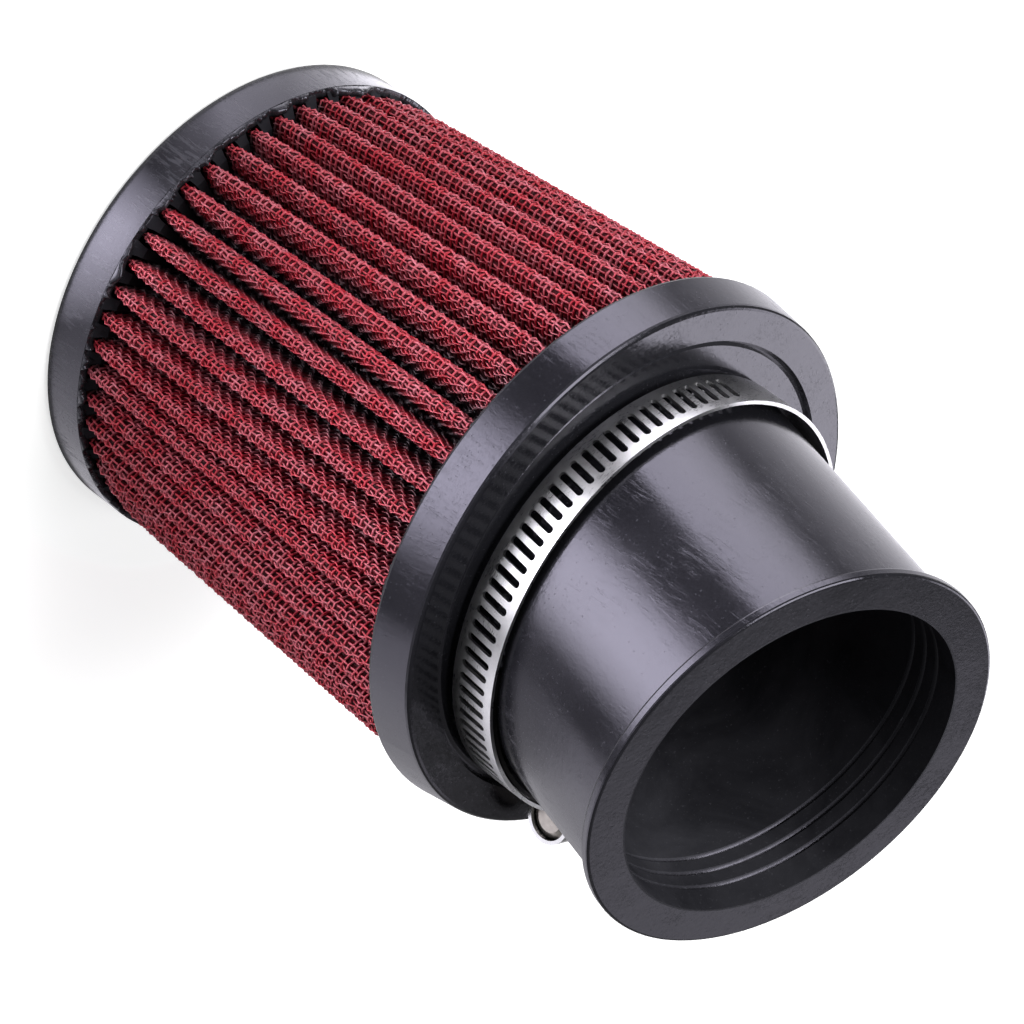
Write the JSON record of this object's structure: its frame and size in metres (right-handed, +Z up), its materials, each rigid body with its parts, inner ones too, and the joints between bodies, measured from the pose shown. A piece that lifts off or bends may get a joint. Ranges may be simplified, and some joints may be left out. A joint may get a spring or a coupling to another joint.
{
  "type": "cone air filter",
  "caption": "Tapered pleated air filter with a moulded rubber end cap and base ring, an angled rubber neck with a lip, and a loose worm-drive hose clamp.",
  "frame": {"origin": "centre of the end cap's flat outer face, on the axis of the pleated body", "axes": "+Z up the axis of the pleated body to the base ring and the mouth, +X the way that the neck leans"},
  "size_m": [0.1, 0.1, 0.1559],
  "materials": {
    "cap_rubber": "satin",
    "neck_rubber": "gloss",
    "red_gauze": "oiled",
    "screen_wire": "coated",
    "inner_wire": "bare",
    "band_steel": "polished",
    "housing_steel": "polished",
    "screw_steel": "plated"
  },
  "bodies": {
    "filter": {"end_cap": "cap_rubber", "neck_base": "neck_rubber", "filter_gauze": "red_gauze", "outer_screen": "screen_wire", "inner_screen": "inner_wire", "clamp_band": "band_steel", "clamp_housing": "housing_steel"},
    "screw": {"clamp_screw": "screw_steel"}
  },
  "joints": [
    {"name": "clamp_screw_turn", "type": "hinge", "parent": "filter", "child": "screw", "pos_m": [0.0275, 0.03486, 0.1048], "axis": [-0.788, 0.6157, 0], "continuous": true}
  ]
}
